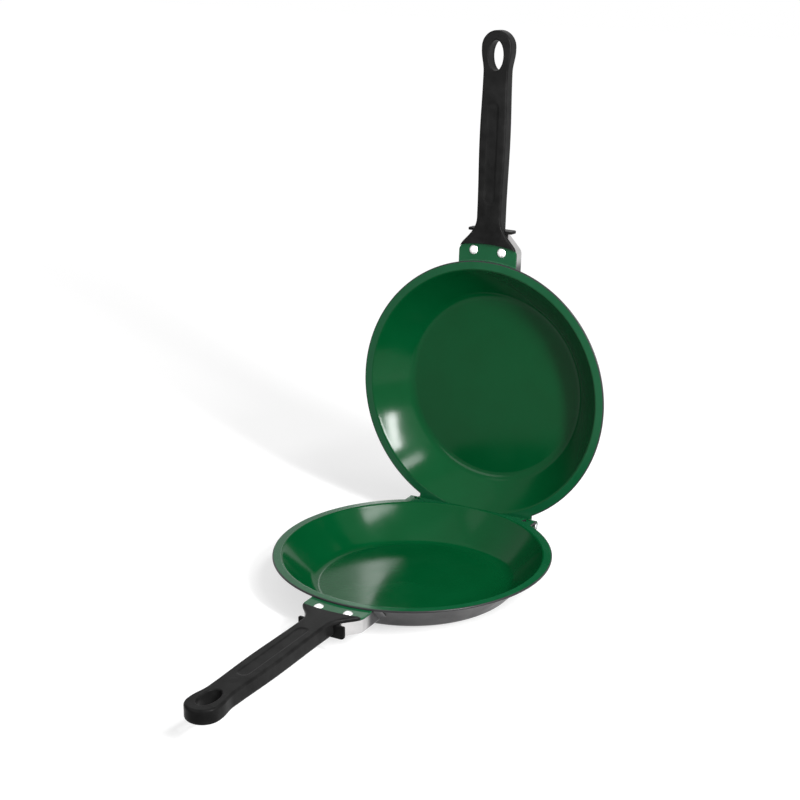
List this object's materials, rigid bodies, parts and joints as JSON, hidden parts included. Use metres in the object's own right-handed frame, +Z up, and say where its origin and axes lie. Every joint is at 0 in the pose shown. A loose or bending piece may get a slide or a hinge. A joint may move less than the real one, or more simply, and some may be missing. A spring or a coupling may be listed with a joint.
{
  "type": "double sided flip pan",
  "caption": "Double sided flip pan with two hinged round pans, each on its own riveted handle with a steel guard, that close rim to rim so that the food is turned with the pan.",
  "frame": {"origin": "centre of the lower pan's flat bottom, on the surface that the pan stands on", "axes": "+X along the hinge axis, +Y from the handles to the hinge, +Z up from the surface"},
  "size_m": [0.25, 0.5008, 0.4746],
  "materials": {
    "pan_coating": "glossy ceramic coating over stamped sheet, dark outside",
    "guard_steel": "polished",
    "rivet_metal": "polished",
    "handle_resin": "fine moulded texture",
    "plug_resin": "satin",
    "magnet_metal": "nickel plated",
    "pin_steel": "satin"
  },
  "bodies": {
    "lower_half": {"lower_pan": "pan_coating", "lower_guard": "guard_steel", "lower_handle": "handle_resin", "lower_rivet_left": "rivet_metal", "lower_rivet_right": "rivet_metal", "lower_magnet": "magnet_metal", "lower_magnet_plug": "plug_resin", "hinge_pin_left": "pin_steel", "hinge_pin_right": "pin_steel"},
    "upper_half": {"upper_pan": "pan_coating", "upper_guard": "guard_steel", "upper_handle": "handle_resin", "upper_rivet_left": "rivet_metal", "upper_rivet_right": "rivet_metal", "upper_magnet": "magnet_metal", "upper_magnet_plug": "plug_resin"}
  },
  "joints": [
    {"name": "lid_hinge", "type": "hinge", "parent": "lower_half", "child": "upper_half", "pos_m": [0, 0.1164, 0.0266], "axis": [1, 0, 0], "range_deg": [0, 94.2]}
  ]
}
